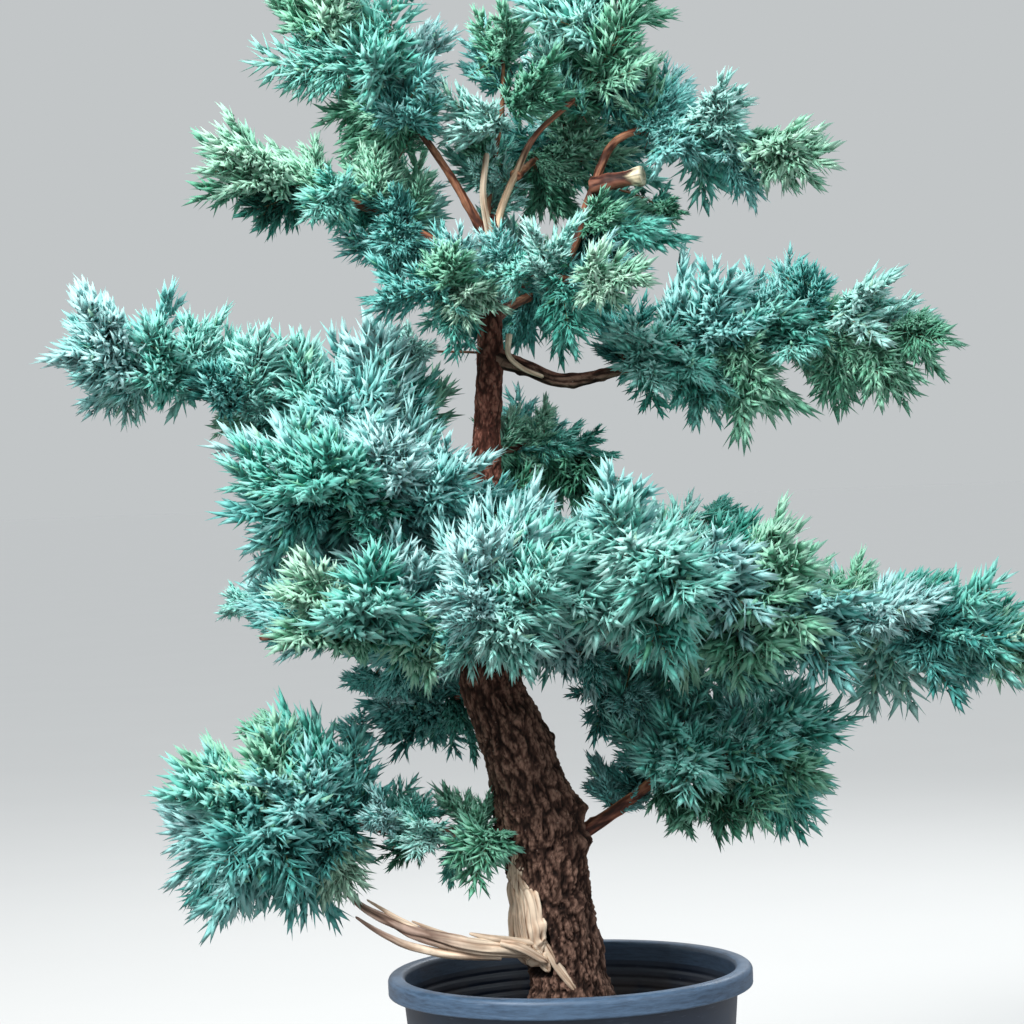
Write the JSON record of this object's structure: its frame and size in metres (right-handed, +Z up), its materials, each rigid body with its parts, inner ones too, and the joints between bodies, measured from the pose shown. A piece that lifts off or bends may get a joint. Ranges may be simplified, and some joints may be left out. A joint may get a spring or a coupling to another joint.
{
  "type": "bonsai tree in a pot",
  "caption": "Blue-leaved juniper trained as a bonsai, with bent trunk, stripped deadwood, branches and feathery foliage pads, standing in a round plastic nursery pot.",
  "frame": {"origin": "centre of the pot's flat underside", "axes": "+Z up along the pot's axis; the tree's front faces -Y, and its widest spread lies along X"},
  "size_m": [0.834, 0.4631, 1.098],
  "materials": {
    "pot_plastic": "satin",
    "soil": "matte",
    "bark": "matte",
    "young_bark": "matte",
    "deadwood": "matte",
    "foliage": "matte"
  },
  "bodies": {
    "root": {"branch_back_left": "bark", "branch_back_low": "bark", "branch_back_low_left": "bark", "branch_back_middle": "bark", "branch_back_right": "bark", "branch_back_upper": "young_bark", "branch_crown_back": "young_bark", "branch_crown_centre": "deadwood", "branch_crown_front": "young_bark", "branch_crown_front_left": "young_bark", "branch_crown_left": "young_bark", "branch_crown_left_low": "young_bark", "branch_crown_middle": "young_bark", "branch_crown_right": "young_bark", "branch_front_low": "bark", "branch_left_lower": "bark", "branch_left_middle": "bark", "branch_left_upper": "young_bark", "branch_low_left": "bark", "branch_low_right": "young_bark", "branch_right_front": "bark", "branch_right_main": "bark", "branch_right_upper": "young_bark", "deadwood_strip": "deadwood", "foliage_back_left": "foliage", "foliage_back_low": "foliage", "foliage_back_low_left": "foliage", "foliage_back_middle": "foliage", "foliage_back_right": "foliage", "foliage_back_upper": "foliage", "foliage_crown_back": "foliage", "foliage_crown_front": "foliage", "foliage_crown_front_left": "foliage", "foliage_crown_left": "foliage", "foliage_crown_left_low": "foliage", "foliage_crown_middle": "foliage", "foliage_crown_right": "foliage", "foliage_crown_top": "foliage", "foliage_crown_under": "foliage", "foliage_front_low": "foliage", "foliage_left_lower": "foliage", "foliage_left_middle": "foliage", "foliage_left_tip": "foliage", "foliage_left_upper": "foliage", "foliage_low_left": "foliage", "foliage_low_left_inner": "foliage", "foliage_low_right": "foliage", "foliage_right_front": "foliage", "foliage_right_middle": "foliage", "foliage_right_tip": "foliage", "foliage_right_upper": "foliage", "foliage_right_upper_tip": "foliage", "jin_crown": "deadwood", "jin_fork": "deadwood", "jin_low_left": "deadwood", "nursery_pot": "pot_plastic", "potting_soil": "soil", "stub_crown_right": "young_bark", "trunk": "bark"}
  },
  "joints": []
}
